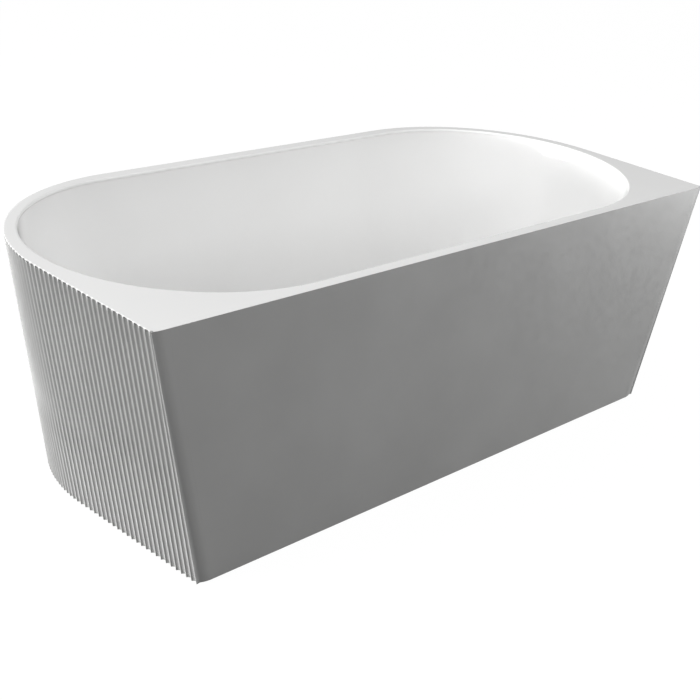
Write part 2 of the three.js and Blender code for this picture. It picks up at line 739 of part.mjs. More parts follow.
function frame() {
  const group = new THREE.Group();
  group.position.y = OPENING.centreY;
  group.add(named('base_board', baseBoard().translate(0, -OPENING.centreY, 0), PLYWOOD));
  const barX = FLOOR_HALF_LENGTH * BAR_PLACE_SHARE;
  const barLength = WIDTH * BAR_LENGTH_SHARE;
  const footY = barLength / 2 - FOOT_EDGE_DISTANCE;
  const centreLength = WIDTH * CENTRE_BAR_SHARE;
  const centreY = WASTE_Y - OPENING.centreY + BOARD_WASTE_HOLE + centreLength / 2;
  let number = 0;
  for (const [name, x] of [['left', -barX], ['right', barX]]) {
    const bar = named(`leg_bar_${name}`, legBar(barLength, [-footY, footY]), ZINC_STEEL);
    bar.position.x = x;
    group.add(bar);
    for (const y of [-footY, footY]) {
      number += 1;
      group.add(levellingFoot(number, x, y));
    }
  }
  const centreBar = named('leg_bar_centre', legBar(centreLength, [0]), ZINC_STEEL);
  centreBar.position.y = centreY;
  group.add(centreBar, levellingFoot(number + 1, 0, centreY));
  return group;
}

const WASTE_SEAT = BASIN_FLOOR_HEIGHT - WASTE_RECESS;
const FLANGE_BASE = WASTE_SEAT + SEAL_THICKNESS + 2 * FIT_GAP;
const FLANGE_TOP = FLANGE_BASE + WASTE_FLANGE_THICKNESS;
const FLANGE_TUBE_BASE = FLANGE_TOP - WASTE_TUBE_LENGTH;
const HUB_BASE = FLANGE_TUBE_BASE + WASTE_FLANGE_THICKNESS;
const HUB_TOP = HUB_BASE + HUB_HEIGHT;

// Flange with its tube and the spoked hub that holds the click cartridge.
function wasteFlange() {
  const lip = WASTE_FLANGE_THICKNESS / 2;
  const rim = turned([
    [WASTE_TUBE_BORE, FLANGE_TUBE_BASE], [WASTE_TUBE_RADIUS, FLANGE_TUBE_BASE],
    [WASTE_TUBE_RADIUS, FLANGE_BASE], [WASTE_FLANGE_RADIUS, FLANGE_BASE],
    [WASTE_FLANGE_RADIUS, FLANGE_BASE + lip], [WASTE_FLANGE_RADIUS - lip, FLANGE_TOP],
    [WASTE_HOLE_RADIUS, FLANGE_TOP], [WASTE_TUBE_BORE, FLANGE_BASE], [WASTE_TUBE_BORE, FLANGE_TUBE_BASE],
  ]);
  let solid = toSolid(rim);
  const spokeLength = WASTE_TUBE_BORE + WASTE_TUBE_RADIUS;
  for (let i = 0; i < SPOKE_COUNT; i += 1) {
    const spoke = new THREE.BoxGeometry(spokeLength / 2, SPOKE_WIDTH, HUB_HEIGHT);
    spoke.translate(spokeLength / 4, 0, (HUB_BASE + HUB_TOP) / 2);
    spoke.rotateZ((i / SPOKE_COUNT) * 2 * Math.PI);
    solid = solid.add(toSolid(spoke));
  }
  solid = solid.add(toSolid(rod(HUB_RADIUS, HUB_BASE, HUB_TOP)));
  const bore = rod(CARTRIDGE_RADIUS + FIT_GAP, HUB_BASE - OVERRUN, HUB_TOP + OVERRUN);
  return fromSolid(solid.subtract(toSolid(bore)));
}

const PLUG_SEAL_BASE = FLANGE_TOP + FIT_GAP;
const PLUG_BASE = PLUG_SEAL_BASE + SEAL_THICKNESS + FIT_GAP;
const CARTRIDGE_BASE = HUB_BASE - HUB_HEIGHT;
const CARTRIDGE_TOP = HUB_TOP + HUB_HEIGHT;
const STEM_BASE = CARTRIDGE_BASE + HUB_HEIGHT / 2;

function plugCap() {
  const edge = PLUG_CROWN / 2;
  return turned([
    [0, PLUG_BASE], [PLUG_RADIUS, PLUG_BASE], [PLUG_RADIUS, PLUG_BASE + edge],
    [PLUG_RADIUS - edge / 2, PLUG_BASE + 3 * PLUG_CROWN / 4], [PLUG_RADIUS / 2, PLUG_BASE + PLUG_CROWN],
    [0, PLUG_BASE + PLUG_CROWN],
  ]);
}

function plugCartridge() {
  const bore = STEM_RADIUS + FIT_GAP;
  const collar = HUB_TOP + FIT_GAP;
  return turned([
    [0, CARTRIDGE_BASE], [CARTRIDGE_RADIUS, CARTRIDGE_BASE], [CARTRIDGE_RADIUS, collar],
    [HUB_RADIUS, collar], [HUB_RADIUS, collar + SPOKE_WIDTH], [CARTRIDGE_RADIUS, collar + SPOKE_WIDTH],
    [CARTRIDGE_RADIUS, CARTRIDGE_TOP], [bore, CARTRIDGE_TOP], [bore, STEM_BASE - FIT_GAP],
    [0, STEM_BASE - FIT_GAP],
  ], SMALL_FACETS);
}

const BODY_TOP = BASIN_UNDERSIDE - SEAL_THICKNESS - 2 * FIT_GAP;
const BODY_SHOULDER = BODY_TOP - WASTE_BODY_HEIGHT;
const BODY_OUTLET = BODY_SHOULDER - WASTE_NECK_LENGTH;
const BRANCH_Z = BOARD_BASE - BRANCH_RADIUS - WASTE_BODY_WALL;

// Where a side pipe starts so that it is rooted in a round wall all the way round.
function rootInWall(wallRadius, bore, pipeRadius) {
  return (bore + Math.sqrt(wallRadius * wallRadius - pipeRadius * pipeRadius)) / 2;
}

// Body under the basin floor, with the branch that takes the overflow.
function wasteBody() {
  const bore = WASTE_BODY_RADIUS - WASTE_BODY_WALL;
  const outletBore = OUTLET_RADIUS - OUTLET_WALL;
  const shell = turned([
    [bore, BODY_TOP], [bore, BODY_SHOULDER + WASTE_BODY_WALL], [outletBore, BODY_SHOULDER],
    [outletBore, BODY_OUTLET], [OUTLET_RADIUS, BODY_OUTLET], [OUTLET_RADIUS, BODY_SHOULDER - WASTE_BODY_WALL],
    [WASTE_BODY_RADIUS, BODY_SHOULDER], [WASTE_BODY_RADIUS, BODY_TOP - WASTE_BODY_WALL],
    [WASTE_FLANGE_RADIUS, BODY_TOP - WASTE_BODY_WALL], [WASTE_FLANGE_RADIUS, BODY_TOP], [bore, BODY_TOP],
  ]);
  const along = (radius, from, to) => rod(radius, from, to, SMALL_FACETS).rotateX(Math.PI / 2);
  const start = rootInWall(WASTE_BODY_RADIUS, bore, BRANCH_RADIUS);
  const branch = along(BRANCH_RADIUS, start, BRANCH_LENGTH);
  const passage = along(PIPE_RADIUS - PIPE_WALL, start - WASTE_BODY_WALL, BRANCH_LENGTH + OVERRUN);
  const place = shift(0, 0, BRANCH_Z);
  return fromSolid(toSolid(shell).add(toSolid(branch, place)).subtract(toSolid(passage, place)));
}

const TAIL_SEAL_TOP = BODY_OUTLET - FIT_GAP;
const TAIL_TOP = TAIL_SEAL_TOP - SEAL_THICKNESS - FIT_GAP;
const TAIL_COLLAR_BASE = TAIL_TOP - OUTLET_WALL;
const TAIL_RADIUS = OUTLET_RADIUS - OUTLET_WALL / 2;

function wasteTail() {
  const bore = TAIL_RADIUS - OUTLET_WALL;
  return turned([
    [bore, OUTLET_CLEARANCE], [TAIL_RADIUS, OUTLET_CLEARANCE], [TAIL_RADIUS, TAIL_COLLAR_BASE],
    [OUTLET_RADIUS, TAIL_COLLAR_BASE], [OUTLET_RADIUS, TAIL_TOP], [bore, TAIL_TOP], [bore, OUTLET_CLEARANCE],
  ]);
}

function tailNut() {
  const lipTop = TAIL_COLLAR_BASE - FIT_GAP;
  const base = lipTop - OUTLET_WALL;
  const top = base + UNION_NUT_HEIGHT;
  const bore = OUTLET_RADIUS + FIT_GAP;
  const lip = TAIL_RADIUS + FIT_GAP;
  return turned([
    [lip, base], [UNION_NUT_RADIUS, base], [UNION_NUT_RADIUS, top], [bore, top], [bore, lipTop],
    [lip, lipTop], [lip, base],
  ]);
}

function waste() {
  const group = new THREE.Group();
  group.position.y = WASTE_Y;
  const sealBase = WASTE_SEAT + FIT_GAP;
  const underBase = BODY_TOP + FIT_GAP;
  const sealBore = WASTE_TUBE_RADIUS + 2 * FIT_GAP;
  const topSeal = ring(WASTE_FLANGE_RADIUS, sealBore, sealBase, sealBase + SEAL_THICKNESS);
  const underSeal = ring(WASTE_FLANGE_RADIUS, WASTE_HOLE_RADIUS, underBase, underBase + SEAL_THICKNESS);
  const outletBore = OUTLET_RADIUS - OUTLET_WALL;
  const tailSeal = ring(OUTLET_RADIUS, outletBore, TAIL_SEAL_TOP - SEAL_THICKNESS, TAIL_SEAL_TOP);
  const plugSealTop = PLUG_SEAL_BASE + SEAL_THICKNESS;
  const plugSeal = ring(PLUG_RADIUS - SEAL_THICKNESS, WASTE_TUBE_BORE, PLUG_SEAL_BASE, plugSealTop);
  group.add(named('waste_flange', wasteFlange(), CHROME));
  group.add(named('waste_top_seal', topSeal, RUBBER));
  group.add(named('waste_under_seal', underSeal, RUBBER));
  group.add(named('waste_body', wasteBody(), WHITE_PLASTIC));
  group.add(named('waste_tail_seal', tailSeal, RUBBER));
  group.add(named('waste_tail', wasteTail(), WHITE_PLASTIC));
  group.add(named('waste_tail_nut', tailNut(), BLACK_PLASTIC));
  group.add(named('plug_cap', plugCap(), CHROME));
  group.add(named('plug_seal', plugSeal, RUBBER));
  group.add(named('plug_stem', rod(STEM_RADIUS, STEM_BASE, PLUG_BASE - FIT_GAP), CHROME));
  group.add(named('plug_cartridge', plugCartridge(), CHROME));
  return group;
}

const WALL_BACK = -SHELL_WALL - 2 * FIT_GAP;
const BODY_FACE = WALL_BACK - SEAL_THICKNESS - FIT_GAP;
const BODY_BACK = BODY_FACE - OVERFLOW_BODY_DEPTH;
const SPIGOT_DEPTH = (BODY_FACE + BODY_BACK) / 2;
const SPIGOT_LENGTH = OVERFLOW_BODY_RADIUS + PIPE_NUT_LENGTH;

// Profiles here run along the axis of the overflow, which points into the basin.
function overflowTurned(profile, facets) {
  return turned(profile, facets).rotateX(-Math.PI / 2);
}

function overflowCover() {
  const front = COVER_DEPTH;
  const back = SEAL_THICKNESS + 2 * FIT_GAP;
  const inner = front - COVER_SKIN;
  const bore = SCREW_RADIUS + FIT_GAP;
  const cap = overflowTurned([
    [bore, front], [bore, inner], [COVER_RADIUS - COVER_SKIN, inner], [COVER_RADIUS - COVER_SKIN, back],
    [COVER_RADIUS, back], [COVER_RADIUS, front - COVER_SKIN / 2], [COVER_RADIUS - COVER_SKIN / 2, front],
    [bore, front],
  ]);
  let solid = toSolid(cap);
  const slotWidth = COVER_RADIUS / COVER_SLOT_COUNT;
  const slotDepth = inner - back - COVER_SKIN;
  for (let i = 0; i < COVER_SLOT_COUNT; i += 1) {
    const slot = new THREE.BoxGeometry(slotWidth, slotDepth, 3 * COVER_SKIN);
    slot.translate(0, (inner + back) / 2, COVER_SKIN - COVER_RADIUS);
    slot.rotateY((i - (COVER_SLOT_COUNT - 1) / 2) * (Math.PI / 2 / COVER_SLOT_COUNT));
    solid = solid.subtract(toSolid(slot));
  }
  return fromSolid(solid);
}

// Cup behind the wall, with the boss for the screw and the spigot for the pipe.
function overflowBody() {
  const bore = OVERFLOW_BODY_RADIUS - OVERFLOW_BODY_WALL;
  const floor = BODY_BACK + OVERFLOW_BODY_WALL;
  const boss = 2 * SCREW_RADIUS;
  const screwBore = SCREW_RADIUS + FIT_GAP;
  const flange = OVERFLOW_BODY_RADIUS + OVERFLOW_BODY_WALL;
  const cup = overflowTurned([
    [0, BODY_BACK], [OVERFLOW_BODY_RADIUS, BODY_BACK], [OVERFLOW_BODY_RADIUS, BODY_FACE - OVERFLOW_BODY_WALL],
    [flange, BODY_FACE - OVERFLOW_BODY_WALL], [flange, BODY_FACE], [bore, BODY_FACE], [bore, floor],
    [boss, floor], [boss, BODY_FACE], [screwBore, BODY_FACE], [screwBore, floor], [0, floor],
  ]);
  const place = shift(0, SPIGOT_DEPTH, 0);
  const spigot = rod(PIPE_RADIUS, -SPIGOT_LENGTH, -rootInWall(OVERFLOW_BODY_RADIUS, bore, PIPE_RADIUS));
  const passage = rod(PIPE_RADIUS - PIPE_WALL, -SPIGOT_LENGTH - OVERRUN, -boss - OVERFLOW_BODY_WALL);
  return fromSolid(toSolid(cup).add(toSolid(spigot, place)).subtract(toSolid(passage, place)));
}

function overflowScrew() {
  const tip = BODY_BACK + OVERFLOW_BODY_WALL + FIT_GAP;
  const head = COVER_DEPTH + FIT_GAP;
  const crown = head + SCREW_HEAD_HEIGHT;
  return overflowTurned([
    [0, tip], [SCREW_RADIUS, tip], [SCREW_RADIUS, head], [SCREW_HEAD_RADIUS, head],
    [SCREW_HEAD_RADIUS, crown - SCREW_RADIUS / 2], [SCREW_HEAD_RADIUS / 2, crown], [0, crown],
  ], SMALL_FACETS);
}

function pipeNut() {
  return ring(PIPE_NUT_RADIUS, PIPE_RADIUS + FIT_GAP, -PIPE_NUT_LENGTH / 2, PIPE_NUT_LENGTH / 2, SMALL_FACETS);
}

// Two straight runs joined by a round bend.
class BentRoute extends THREE.Curve {
  constructor(start, corner, end, bend) {
    super();
    this.start = start;
    this.end = end;
    this.into = corner.clone().sub(start).normalize();
    this.out = end.clone().sub(corner).normalize();
    this.turn = this.into.angleTo(this.out);
    this.bend = bend;
    const cut = bend * Math.tan(this.turn / 2);
    this.first = corner.distanceTo(start) - cut;
    this.arc = bend * this.turn;
    this.last = end.distanceTo(corner) - cut;
  }

  getPoint(share, target = new THREE.Vector3()) {
    const along = share * (this.first + this.arc + this.last);
    if (along <= this.first) {
      return target.copy(this.start).addScaledVector(this.into, along);
    }
    if (along >= this.first + this.arc) {
      const back = this.first + this.arc + this.last - along;
      return target.copy(this.end).addScaledVector(this.out, -back);
    }
    const angle = (along - this.first) / this.bend;
    const side = this.out.clone().addScaledVector(this.into, -this.out.dot(this.into)).normalize();
    target.copy(this.start).addScaledVector(this.into, this.first + this.bend * Math.sin(angle));
    return target.addScaledVector(side, this.bend * (1 - Math.cos(angle)));
  }
}

// The pipe drops along the lean of the basin wall, then turns level to the waste.
function overflowRoute() {
  const fitting = placeOverflow(new THREE.Object3D());
  const start = new THREE.Vector3(0, SPIGOT_DEPTH, -SPIGOT_LENGTH - FIT_GAP).applyMatrix4(fitting.matrix);
  const end = new THREE.Vector3(0, WASTE_Y - BRANCH_LENGTH - FIT_GAP, BRANCH_Z);
  const drop = start.z - end.z;
  const corner = new THREE.Vector3(0, start.y + drop * Math.tan(OVERFLOW_LEAN), BRANCH_Z);
  return new BentRoute(start, corner, end, PIPE_BEND);
}

function overflowPipe() {
  const section = new THREE.Shape();
  section.absarc(0, 0, PIPE_RADIUS, 0, 2 * Math.PI);
  const bore = new THREE.Path();
  bore.absarc(0, 0, PIPE_RADIUS - PIPE_WALL, 0, 2 * Math.PI);
  section.holes.push(bore);
  const options = {
    steps: PIPE_STEPS,
    bevelEnabled: false,
    extrudePath: overflowRoute(),
    curveSegments: SMALL_FACETS / 2,
  };
  return new THREE.ExtrudeGeometry(section, options);
}

function overflow() {
  const group = new THREE.Group();
  const fitting = placeOverflow(new THREE.Group());
  const sealTop = FIT_GAP + SEAL_THICKNESS;
  const faceSeal = ring(COVER_RADIUS, OVERFLOW_HOLE_RADIUS, FIT_GAP, sealTop);
  const flange = OVERFLOW_BODY_RADIUS + OVERFLOW_BODY_WALL;
  const backSeal = ring(flange, OVERFLOW_HOLE_RADIUS, WALL_BACK - SEAL_THICKNESS, WALL_BACK);
  fitting.add(named('overflow_cover', overflowCover(), CHROME));
  fitting.add(named('overflow_face_seal', faceSeal.rotateX(-Math.PI / 2), RUBBER));
  fitting.add(named('overflow_back_seal', backSeal.rotateX(-Math.PI / 2), RUBBER));
  fitting.add(named('overflow_body', overflowBody(), WHITE_PLASTIC));
  fitting.add(named('overflow_screw', overflowScrew(), CHROME));
  const upperNut = named('overflow_nut_upper', pipeNut(), BLACK_PLASTIC);
  upperNut.position.set(0, SPIGOT_DEPTH, -SPIGOT_LENGTH);
  fitting.add(upperNut);
  const lowerNut = named('overflow_nut_lower', pipeNut(), BLACK_PLASTIC);
  lowerNut.rotation.x = Math.PI / 2;
  lowerNut.position.set(0, WASTE_Y - BRANCH_LENGTH - PIPE_NUT_LENGTH / 2 - 2 * FIT_GAP, BRANCH_Z);
  group.add(fitting, lowerNut, named('overflow_pipe', overflowPipe(), WHITE_PLASTIC));
  return group;
}

function casing() {
  const group = new THREE.Group();
  group.add(named('inner_shell', innerShell(), ACRYLIC));
  group.add(named('outer_skirt', outerSkirt(), SKIRT_GREY));
  group.add(named('back_panel', backPanel(), SKIRT_GREY));
  for (const [name, side] of [['left', -1], ['right', 1]]) {
    group.add(named(`joint_strap_${name}`, jointStrap(side), SKIRT_GREY));
    group.add(named(`deck_gusset_${name}`, deckGusset(side), PLYWOOD));
    const rib = named(`panel_rib_${name}`, panelRib(), PLYWOOD);
    rib.position.x = side * BASE_PLAN.halfLength * RIB_PLACE_SHARE;
    group.add(rib);
  }
  return group;
}

const bathtub = new THREE.Group();
bathtub.add(casing(), frame(), waste(), overflow());
bathtub.updateMatrixWorld(true);

export default bathtub;
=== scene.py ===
import json
import math

import bmesh
import bpy
import numpy as np
from mathutils import Matrix, Vector


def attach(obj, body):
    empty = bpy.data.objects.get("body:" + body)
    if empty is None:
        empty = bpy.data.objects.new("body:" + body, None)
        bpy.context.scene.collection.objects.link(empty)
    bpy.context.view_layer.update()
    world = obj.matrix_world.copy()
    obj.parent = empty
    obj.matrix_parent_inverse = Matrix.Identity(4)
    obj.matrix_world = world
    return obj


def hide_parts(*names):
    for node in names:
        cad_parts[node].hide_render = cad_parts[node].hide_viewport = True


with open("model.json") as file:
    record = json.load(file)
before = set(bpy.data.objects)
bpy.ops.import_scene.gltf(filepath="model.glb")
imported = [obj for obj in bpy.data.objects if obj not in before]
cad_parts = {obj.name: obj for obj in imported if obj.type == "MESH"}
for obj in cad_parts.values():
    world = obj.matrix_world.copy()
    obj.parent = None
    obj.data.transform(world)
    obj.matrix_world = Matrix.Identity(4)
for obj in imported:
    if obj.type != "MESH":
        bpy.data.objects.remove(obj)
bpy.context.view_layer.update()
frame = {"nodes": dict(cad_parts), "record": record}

MM = 0.001

# Sizes in millimetres. Outlines, heights and walls are the solids'. The flutes, the ends of the flat back,
# the seams and the rim's lip are drawn closer to the photograph.
HEIGHT = 550
BACK = -375
DECK_PLAN = {
    "half": 850, "flare": 0, "front": 375, "cx": 422, "cy": 393, "first": 5, "depth": 7.2, "inner": 11,
    "cut_run": 3, "cut_drop": 3, "cut_hollow": 0, "round_run": 22, "round_drop": 2.6,
}
BASE_PLAN = {
    "half": 721, "flare": 15, "front": 325, "cx": 273, "cy": 320, "first": 15, "depth": 5.8, "inner": 10,
    "cut_run": 13, "cut_drop": 3.6, "cut_hollow": 1.5, "round_run": 33, "round_drop": 3.4,
}
PITCH = 15
CREST_WIDTH = 1.3
CREST_ROUND = 0.12
EDGE_SLOPE = 2
EDGE_MIDDLE_RISE = 0.7
EDGE_MIDDLE_RUN = 0.4
FLAT_MARGIN = 2.5
END_FLUTES = 23
SKIRT_WALL = 5
SKIRT_RETURN = 34
RETURN_MARGIN = 1
FLOOR_GAP = 2
DECK_UNDER = 545
DECK_LIP = 549.9
MITRE_GAP = 0.1
JOINT_GAP = 0.05
PANEL_EASE = 0.05
OPEN_HALF_LENGTH = 817
OPEN_HALF_WIDTH = 347.5
OPEN_CENTRE = -0.5
END_REACH = 1.065
ROLL = 4
RIM_FLAT = 1
RIM_LIP = 2
RIM_LIP_DEPTH = 5
SHELL_WALL = 7
BASIN_FLOOR = 130
END_INSET = 300
SIDE_INSET = 130
LEAN = 0.5
SQUARENESS = 4
WASTE_Y = OPEN_CENTRE - 0.24 * OPEN_HALF_WIDTH
WASTE_RECESS = 4
WASTE_HOLE = 26
RECESS_RADIUS = 36.8
RECESS_ROUND = 1.5
RECESS_ROUND_MIDDLE = 0.4
JOINT_DROP = 0.5
CAP_DROP = 6
CAP_RUN = 3.5
CAP_POWER = 2.2
CAP_STEPS = (9.5, 7.8, 6.6, 5.6, 4.7, 3.8, 3.0, 2.2, 1.5, 0.9, 0.4, 0.1, 0.0)

# How finely the curves are drawn
PATH_POINTS = 900
HOLLOW_STEPS = 9
CUT_STEPS = 8
SKIRT_RINGS = 9
ROLL_STEPS = 10
LIP_SHARES = (0.2, 0.4, 0.6, 0.8)
BASIN_POINTS = 360
BASIN_RINGS = 64
UNDERSIDE_RINGS = 24
MERGE_DISTANCE = 0.001

# Camera, solved from the photograph: angles in radians, lens in millimetres, place in metres
CAMERA_YAW = 0.8218
CAMERA_PITCH = 0.4218
CAMERA_ROLL = 0.1076
CAMERA_LENS = 66.27
CAMERA_SENSOR = 36
CAMERA_SHIFT = -0.0011
CAMERA_PLACE = (-2.0298, -1.9152, 1.4160)
CAMERA_REACH = 100

# Floor and surroundings, in metres and in strengths
FLOOR_HALF = 14
FLOOR_DROP = 0.0005
FLOOR_GREY = 0.2
FLOOR_GLOW = 1.15
FLOOR_GLOW_SHARE = 0.85
AMBIENT = 0.48


def make_camera():
    across = math.cos(CAMERA_PITCH)
    forward = Vector((math.sin(CAMERA_YAW) * across, math.cos(CAMERA_YAW) * across, -math.sin(CAMERA_PITCH)))
    level = Vector((math.cos(CAMERA_YAW), -math.sin(CAMERA_YAW), 0))
    lift = level.cross(forward)
    right = math.cos(CAMERA_ROLL) * level + math.sin(CAMERA_ROLL) * lift
    up = -math.sin(CAMERA_ROLL) * level + math.cos(CAMERA_ROLL) * lift
    data = bpy.data.cameras.new("camera")
    data.sensor_width = CAMERA_SENSOR
    data.lens = CAMERA_LENS
    data.shift_x = CAMERA_SHIFT
    data.clip_end = CAMERA_REACH
    camera = bpy.data.objects.new("camera", data)
    turn = Matrix((right, up, -forward)).transposed().to_4x4()
    camera.matrix_world = Matrix.Translation(CAMERA_PLACE) @ turn
    bpy.context.scene.collection.objects.link(camera)
    bpy.context.scene.camera = camera


make_camera()


# Node materials
class Nodes:
    def __init__(self, name):
        self.material = bpy.data.materials.new(name)
        self.material.use_nodes = True
        self.tree = self.material.node_tree
        self.shader = self.tree.nodes["Principled BSDF"]

    def add(self, kind, **values):
        node = self.tree.nodes.new(kind)
        for key, value in values.items():
            if hasattr(node, key):
                setattr(node, key, value)
            else:
                node.inputs[key.replace("_", " ").title()].default_value = value
        return node

    def link(self, source, target):
        self.tree.links.new(source, target)

    def set(self, socket, value):
        self.shader.inputs[socket].default_value = value

    def place(self):
        return self.add("ShaderNodeTexCoord").outputs["Object"]

    def noise(self, scale, detail=2.0, stretch=None):
        node = self.add("ShaderNodeTexNoise", scale=scale, detail=detail)
        source = self.place()
        if stretch:
            mapping = self.add("ShaderNodeMapping")
            mapping.inputs["Scale"].default_value = stretch
            self.link(source, mapping.inputs["Vector"])
            source = mapping.outputs["Vector"]
        self.link(source, node.inputs["Vector"])
        return node.outputs["Fac"]

    def ranged(self, source, low, high):
        node = self.add("ShaderNodeMapRange")
        node.inputs["From Min"].default_value = 0.3
        node.inputs["From Max"].default_value = 0.7
        node.inputs["To Min"].default_value = low
        node.inputs["To Max"].default_value = high
        self.link(source, node.inputs["Value"])
        return node.outputs["Result"]

    def blend(self, source, first, second):
        node = self.add("ShaderNodeMix", data_type="RGBA")
        colours = [socket for socket in node.inputs if socket.type == "RGBA"]
        colours[0].default_value = (*first, 1)
        colours[1].default_value = (*second, 1)
        self.link(source, node.inputs["Factor"])
        return [socket for socket in node.outputs if socket.type == "RGBA"][0]

    def bump(self, source, strength, distance, after=None):
        node = self.add("ShaderNodeBump")
        node.inputs["Strength"].default_value = strength
        node.inputs["Distance"].default_value = distance
        self.link(source, node.inputs["Height"])
        if after:
            self.link(after, node.inputs["Normal"])
        return node.outputs["Normal"]

    def wire(self, socket, source):
        self.link(source, self.shader.inputs[socket])


def acrylic():
    made = Nodes("white_acrylic")
    cloud = made.ranged(made.noise(3.5, 3), 0, 1)
    made.wire("Base Color", made.blend(cloud, (0.88, 0.88, 0.876), (0.90, 0.90, 0.896)))
    made.wire("Roughness", made.ranged(made.noise(9, 4), 0.075, 0.11))
    made.set("IOR", 1.49)
    made.wire("Normal", made.bump(made.noise(7, 1), 0.05, 0.002))
    return made.material


def skirt_grey():
    made = Nodes("skirt_grey")
    cloud = made.ranged(made.noise(5, 4), 0, 1)
    made.wire("Base Color", made.blend(cloud, (0.243, 0.243, 0.241), (0.263, 0.263, 0.261)))
    made.wire("Roughness", made.ranged(made.noise(60, 3), 0.36, 0.46))
    made.set("IOR", 1.45)
    fine = made.bump(made.noise(1400, 2), 0.05, 0.0004)
    made.wire("Normal", made.bump(made.noise(11, 1), 0.03, 0.002, fine))
    return made.material


def chrome():
    made = Nodes("chrome_plate")
    made.set("Metallic", 1.0)
    smear = made.ranged(made.noise(90, 4), 0, 1)
    made.wire("Base Color", made.blend(smear, (0.78, 0.79, 0.80), (0.83, 0.835, 0.84)))
    made.wire("Roughness", made.ranged(made.noise(140, 5), 0.04, 0.12))
    return made.material


def zinc():
    made = Nodes("zinc_steel")
    made.set("Metallic", 1.0)
    spangle = made.add("ShaderNodeTexVoronoi", scale=240)
    made.link(made.place(), spangle.inputs["Vector"])
    made.wire("Base Color", made.blend(spangle.outputs["Distance"], (0.50, 0.52, 0.54), (0.66, 0.68, 0.69)))
    made.wire("Roughness", made.ranged(made.noise(160, 4), 0.28, 0.48))
    return made.material


def wood():
    made = Nodes("plywood")
    grain = made.noise(26, 6, stretch=(0.6, 9, 9))
    made.wire("Base Color", made.blend(made.ranged(grain, 0, 1), (0.36, 0.22, 0.11), (0.58, 0.41, 0.24)))
    made.set("Roughness", 0.75)
    made.wire("Normal", made.bump(grain, 0.3, 0.001))
    return made.material


def moulded(name, low, high, roughness):
    made = Nodes(name)
    made.wire("Base Color", made.blend(made.ranged(made.noise(40, 3), 0, 1), low, high))
    made.wire("Roughness", made.ranged(made.noise(300, 2), roughness - 0.05, roughness + 0.07))
    made.wire("Normal", made.bump(made.noise(900, 2), 0.15, 0.0004))
    return made.material


MATERIALS = {
    "acrylic": acrylic(),
    "skirt": skirt_grey(),
    "plywood": wood(),
    "zinc_steel": zinc(),
    "chrome": chrome(),
    "black_plastic": moulded("black_plastic", (0.010, 0.010, 0.011), (0.022, 0.022, 0.023), 0.5),
    "white_plastic": moulded("white_plastic", (0.74, 0.74, 0.71), (0.80, 0.80, 0.77), 0.42),
    "rubber": moulded("rubber", (0.014, 0.014, 0.014), (0.026, 0.026, 0.026), 0.8),
}


# Turns a mesh in millimetres into a piece that stands for its CAD node.
def piece(name, bm, slot, nodes, body="bath", sharp=30):
    bmesh.ops.remove_doubles(bm, verts=bm.verts, dist=MERGE_DISTANCE)
    bmesh.ops.recalc_face_normals(bm, faces=bm.faces)
    bmesh.ops.scale(bm, vec=(MM, MM, MM), verts=bm.verts)
    mesh = bpy.data.meshes.new(name)
    bm.to_mesh(mesh)
    bm.free()
    mesh.polygons.foreach_set("use_smooth", [True] * len(mesh.polygons))
    mesh.set_sharp_from_angle(angle=math.radians(sharp))
    mesh.materials.append(MATERIALS[slot])
    made = bpy.data.objects.new(name, mesh)
    bpy.context.scene.collection.objects.link(made)
    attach(made, body)
    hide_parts(*nodes)
    return made


def add_ring(bm, points):
    return [bm.verts.new(point) for point in points]


def add_band(bm, lower, upper):
    count = len(lower)
    for i in range(count):
        after = (i + 1) % count
        bm.faces.new((lower[i], lower[after], upper[after], upper[i]))


def add_bands(bm, rings):
    made = [add_ring(bm, ring) for ring in rings]
    for lower, upper in zip(made, made[1:]):
        add_band(bm, lower, upper)
    return made


def fill_between(bm, outer, inner):
    edges = []
    for ring in (outer, inner):
        for i, vertex in enumerate(ring):
            after = ring[(i + 1) % len(ring)]
            edges.append(bm.edges.get((vertex, after)) or bm.edges.new((vertex, after)))
    bmesh.ops.triangle_fill(bm, use_beauty=False, use_dissolve=False, edges=edges)


# The smooth outline through the crests, as a fine chain of points with its running length.
def crest_path(plan):
    shoulder = plan["half"] + plan["flare"]
    turn = np.array([shoulder - plan["cx"], plan["front"] - plan["cy"]])
    angle = np.linspace(0, math.pi / 2, PATH_POINTS)
    quarter = turn + np.stack([plan["cx"] * np.cos(angle), plan["cy"] * np.sin(angle)], 1)
    start = np.array([[plan["half"], BACK + plan["cut_drop"]]])
    right = np.concatenate([start, quarter])
    points = np.concatenate([right, (right * [-1, 1])[::-1]])
    length = np.concatenate([[0], np.cumsum(np.linalg.norm(np.diff(points, axis=0), axis=1))])
    return points, length


FLUTES = round(crest_path(DECK_PLAN)[1][-1] / PITCH)


def stations(plan, total):
    run = plan["first"] + END_FLUTES * PITCH
    half = [0] + [plan["first"] + i * PITCH for i in range(END_FLUTES)]
    middle = np.linspace(run, total - run, FLUTES - 2 * END_FLUTES + 1)
    return np.concatenate([half, middle, (total - np.array(half))[::-1]])


# Positions, depths and the cap's drop across one flute: a narrow crest, then a round hollow.
def flute_profile(width, full_depth):
    depth = full_depth * min(width / PITCH, 1)
    crest = CREST_WIDTH * min(width / PITCH, 1)
    across = width - crest
    radius = (across ** 2 / 4 + depth ** 2) / (2 * depth)
    swing = math.asin(across / 2 / radius)
    angles = np.linspace(-swing, swing, HOLLOW_STEPS)
    along = width / 2 + radius * np.sin(angles)
    inward = depth - radius * (1 - np.cos(angles))
    spread = np.abs(np.sin(angles) / math.sin(swing)).clip(0, 1)
    arch = (1 - (1 - spread ** CAP_POWER) ** (1 / CAP_POWER)) * min(width / PITCH, 1)
    return (
        np.concatenate([[0], along]), np.concatenate([[0], inward + CREST_ROUND * crest]),
        np.concatenate([arch[:1], arch]),
    )


